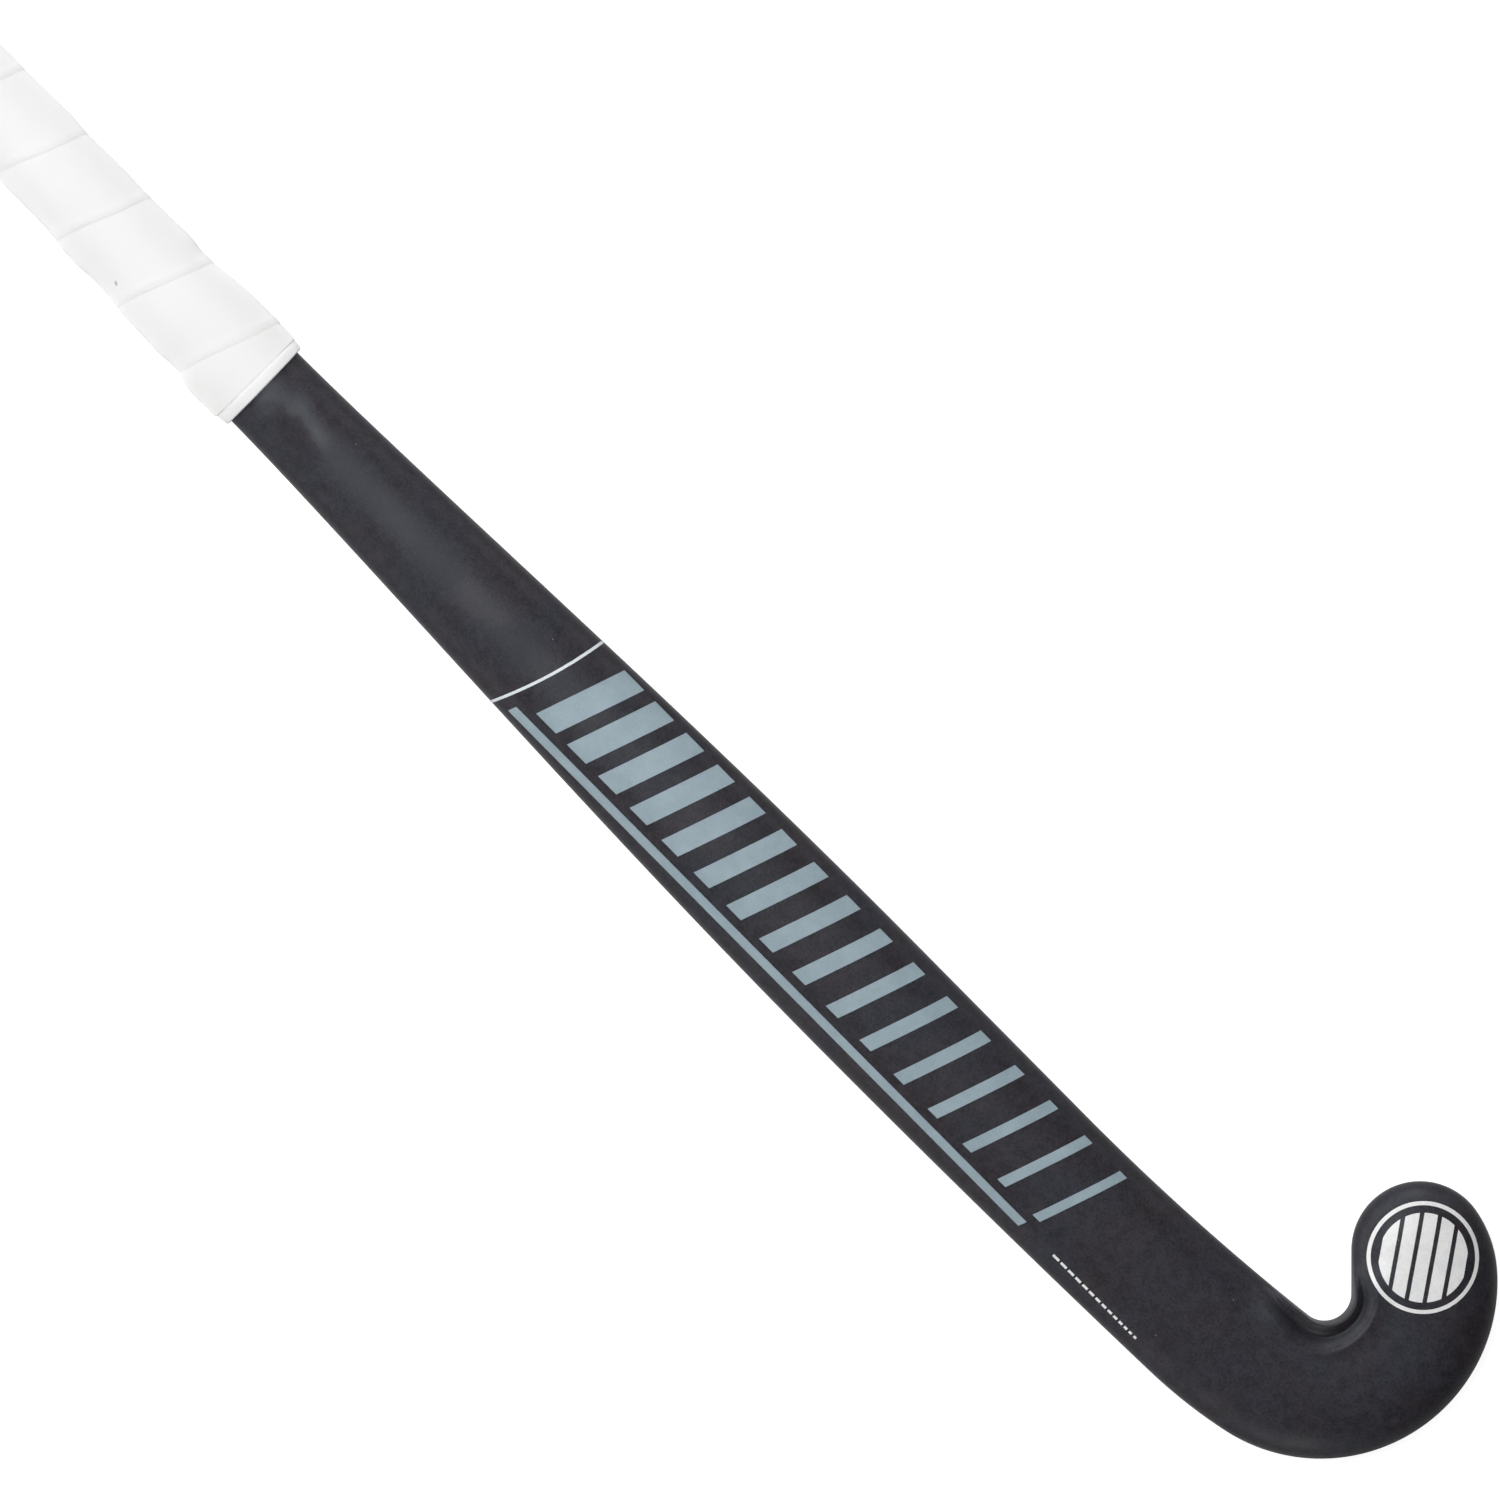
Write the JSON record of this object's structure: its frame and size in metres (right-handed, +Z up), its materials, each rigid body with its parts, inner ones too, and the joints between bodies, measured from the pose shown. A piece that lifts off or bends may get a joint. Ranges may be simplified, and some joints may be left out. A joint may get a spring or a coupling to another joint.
{
  "type": "indoor hockey stick",
  "caption": "Right-handed moulded composite indoor hockey stick with a hooked head, bowed shaft, rounded back, flat playing face and a wound cushion grip.",
  "frame": {"origin": "bottom centre of the bounding box: the stick lies on its flat playing face, rounded back up, on the surface that the origin is on", "axes": "+X along the stick from the butt to the head, +Y towards the toe side, +Z up, out of the rounded back"},
  "size_m": [0.9274, 0.1252, 0.0416],
  "materials": {
    "lacquered_laminate": "soft-touch black lacquer over glass and carbon laminate",
    "braided_tube": "cured glass braid",
    "core_foam": "rigid polyurethane foam",
    "end_cap": "moulded satin black",
    "underlay": "thin adhesive-backed underlay",
    "cushion_grip": "white polyurethane cushion tape",
    "finishing_band": "white vinyl tape"
  },
  "bodies": {
    "root": {"outer_shell": "lacquered_laminate", "heel_side_tube": "braided_tube", "toe_side_tube": "braided_tube", "head_core": "core_foam", "butt_foam_plug": "core_foam", "end_cap": "end_cap", "grip_underlay": "underlay", "cushion_grip": "cushion_grip", "finishing_band": "finishing_band"}
  },
  "joints": []
}
